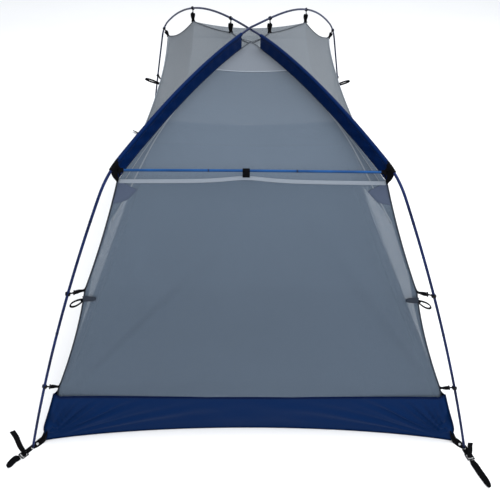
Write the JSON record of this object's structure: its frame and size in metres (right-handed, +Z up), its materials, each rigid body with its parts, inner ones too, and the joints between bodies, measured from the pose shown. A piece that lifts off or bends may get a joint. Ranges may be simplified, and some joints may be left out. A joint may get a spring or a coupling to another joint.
{
  "type": "dome tent",
  "caption": "Pitched dome tent: crossing arched poles over a grey canopy, a navy bathtub floor, pole sleeves, clips, side doors and corner stake straps.",
  "frame": {"origin": "on the ground under the middle of the bounding box", "axes": "+Z up; -Y towards the wide end with the crossbar; +X to the right seen from that end"},
  "size_m": [1.6201, 2.6452, 1.0692],
  "materials": {
    "grey_mesh": "see-through darker grey mosquito mesh",
    "pale_fabric": "light grey thin woven fabric and mesh",
    "tub_fabric": "coated navy taffeta with a slight sheen",
    "sleeve_fabric": "dark navy taffeta",
    "black_webbing": "woven black webbing",
    "black_plastic": "black moulded acetal",
    "blue_pole": "blue anodised aluminium tube"
  },
  "bodies": {
    "tent": {"tub_floor": "tub_fabric", "front_wall": "grey_mesh", "front_roof": "grey_mesh", "apex_panel": "pale_fabric", "rear_wall": "pale_fabric", "rear_roof": "pale_fabric", "front_leg_pole_left": "blue_pole", "front_elbow_pole_left": "blue_pole", "roof_pole_from_front_left": "blue_pole", "rear_elbow_pole_right": "blue_pole", "rear_leg_pole_right": "blue_pole", "front_leg_pole_right": "blue_pole", "front_elbow_pole_right": "blue_pole", "roof_pole_from_front_right": "blue_pole", "rear_elbow_pole_left": "blue_pole", "rear_leg_pole_left": "blue_pole", "crossbar": "blue_pole", "crossbar_clip": "black_plastic", "side_wall_left": "pale_fabric", "side_roof_left": "pale_fabric", "pole_sleeve_left": "sleeve_fabric", "hub_patch_left": "black_webbing", "front_leg_clip_lower_left": "black_plastic", "front_leg_clip_upper_left": "black_plastic", "rear_leg_clip_lower_left": "black_plastic", "rear_leg_clip_upper_left": "black_plastic", "rear_arm_clip_inner_left": "black_plastic", "rear_arm_clip_outer_left": "black_plastic", "rear_elbow_clip_left": "black_plastic", "side_wall_right": "pale_fabric", "side_roof_right": "pale_fabric", "pole_sleeve_right": "sleeve_fabric", "hub_patch_right": "black_webbing", "front_leg_clip_lower_right": "black_plastic", "front_leg_clip_upper_right": "black_plastic", "rear_leg_clip_lower_right": "black_plastic", "rear_leg_clip_upper_right": "black_plastic", "rear_arm_clip_inner_right": "black_plastic", "rear_arm_clip_outer_right": "black_plastic", "rear_elbow_clip_right": "black_plastic", "corner_strap_front_left": "black_webbing", "corner_strap_front_right": "black_webbing", "corner_strap_rear_left": "black_webbing", "corner_strap_rear_right": "black_webbing"},
    "door_left_flap": {"door_left": "grey_mesh"},
    "zip_slider_left_body": {"zip_slider_left": "black_plastic"},
    "door_right_flap": {"door_right": "grey_mesh"},
    "zip_slider_right_body": {"zip_slider_right": "black_plastic"},
    "buckle_front_left_body": {"strap_buckle_front_left": "black_plastic"},
    "stake_front_left_body": {"stake_loop_front_left": "black_webbing"},
    "buckle_front_right_body": {"strap_buckle_front_right": "black_plastic"},
    "stake_front_right_body": {"stake_loop_front_right": "black_webbing"},
    "buckle_rear_left_body": {"strap_buckle_rear_left": "black_plastic"},
    "stake_rear_left_body": {"stake_loop_rear_left": "black_webbing"},
    "buckle_rear_right_body": {"strap_buckle_rear_right": "black_plastic"},
    "stake_rear_right_body": {"stake_loop_rear_right": "black_webbing"},
    "guy_front_left_body": {"front_guy_loop_left": "black_webbing"},
    "guy_front_right_body": {"front_guy_loop_right": "black_webbing"},
    "guy_rear_left_body": {"rear_guy_loop_left": "black_webbing"},
    "guy_rear_right_body": {"rear_guy_loop_right": "black_webbing"}
  },
  "joints": [
    {"name": "door_left_hinge", "type": "hinge", "parent": "tent", "child": "door_left_flap", "pos_m": [-0.51411, 0.42393, 0.48477], "axis": [-0.2613, 0.1756, -0.9491], "range_deg": [0, 150]},
    {"name": "zip_slider_left_travel", "type": "slide", "parent": "tent", "child": "zip_slider_left_body", "axis": [0.0301, 0.9995, -0.0006], "range_m": [0, 1.388]},
    {"name": "door_right_hinge", "type": "hinge", "parent": "tent", "child": "door_right_flap", "pos_m": [0.51411, 0.42393, 0.48477], "axis": [-0.2613, -0.1756, 0.9491], "range_deg": [0, 150]},
    {"name": "zip_slider_right_travel", "type": "slide", "parent": "tent", "child": "zip_slider_right_body", "axis": [-0.0301, 0.9995, -0.0006], "range_m": [0, 1.388]},
    {"name": "buckle_front_left_tilt", "type": "hinge", "parent": "tent", "child": "buckle_front_left_body", "pos_m": [-0.75346, -1.18556, 0.0018], "axis": [-0.772, 0.6356, 0], "range_deg": [0, 40]},
    {"name": "stake_loop_front_left_lift", "type": "hinge", "parent": "buckle_front_left_body", "child": "stake_front_left_body", "pos_m": [-0.77062, -1.20641, 0.0022], "axis": [-0.772, 0.6356, 0], "range_deg": [0, 80]},
    {"name": "buckle_front_right_tilt", "type": "hinge", "parent": "tent", "child": "buckle_front_right_body", "pos_m": [0.74409, -1.19017, 0.0018], "axis": [-0.9746, -0.2238, 0], "range_deg": [0, 40]},
    {"name": "stake_loop_front_right_lift", "type": "hinge", "parent": "buckle_front_right_body", "child": "stake_front_right_body", "pos_m": [0.75014, -1.21649, 0.0022], "axis": [-0.9746, -0.2238, 0], "range_deg": [0, 80]},
    {"name": "buckle_rear_left_tilt", "type": "hinge", "parent": "tent", "child": "buckle_rear_left_body", "pos_m": [-0.64824, 1.19794, 0.0018], "axis": [0.7005, 0.7136, 0], "range_deg": [0, 40]},
    {"name": "stake_loop_rear_left_lift", "type": "hinge", "parent": "buckle_rear_left_body", "child": "stake_rear_left_body", "pos_m": [-0.6675, 1.21685, 0.0022], "axis": [0.7005, 0.7136, 0], "range_deg": [0, 80]},
    {"name": "buckle_rear_right_tilt", "type": "hinge", "parent": "tent", "child": "buckle_rear_right_body", "pos_m": [0.65328, 1.19005, 0.0018], "axis": [0.3538, -0.9353, 0], "range_deg": [0, 40]},
    {"name": "stake_loop_rear_right_lift", "type": "hinge", "parent": "buckle_rear_right_body", "child": "stake_rear_right_body", "pos_m": [0.67853, 1.1996, 0.0022], "axis": [0.3538, -0.9353, 0], "range_deg": [0, 80]},
    {"name": "guy_loop_front_left_swing", "type": "hinge", "parent": "tent", "child": "guy_front_left_body", "pos_m": [-0.53841, -0.97003, 0.4958], "axis": [0.4516, -0.2842, -0.8457], "range_deg": [-35, 20]},
    {"name": "guy_loop_front_right_swing", "type": "hinge", "parent": "tent", "child": "guy_front_right_body", "pos_m": [0.53841, -0.97003, 0.4958], "axis": [0.4516, 0.2842, 0.8457], "range_deg": [-35, 20]},
    {"name": "guy_loop_rear_left_swing", "type": "hinge", "parent": "tent", "child": "guy_rear_left_body", "pos_m": [-0.51423, 0.96983, 0.46789], "axis": [0.1362, -0.373, 0.9178], "range_deg": [-20, 30]},
    {"name": "guy_loop_rear_right_swing", "type": "hinge", "parent": "tent", "child": "guy_rear_right_body", "pos_m": [0.51423, 0.96983, 0.46789], "axis": [0.1362, 0.373, -0.9178], "range_deg": [-20, 30]}
  ]
}
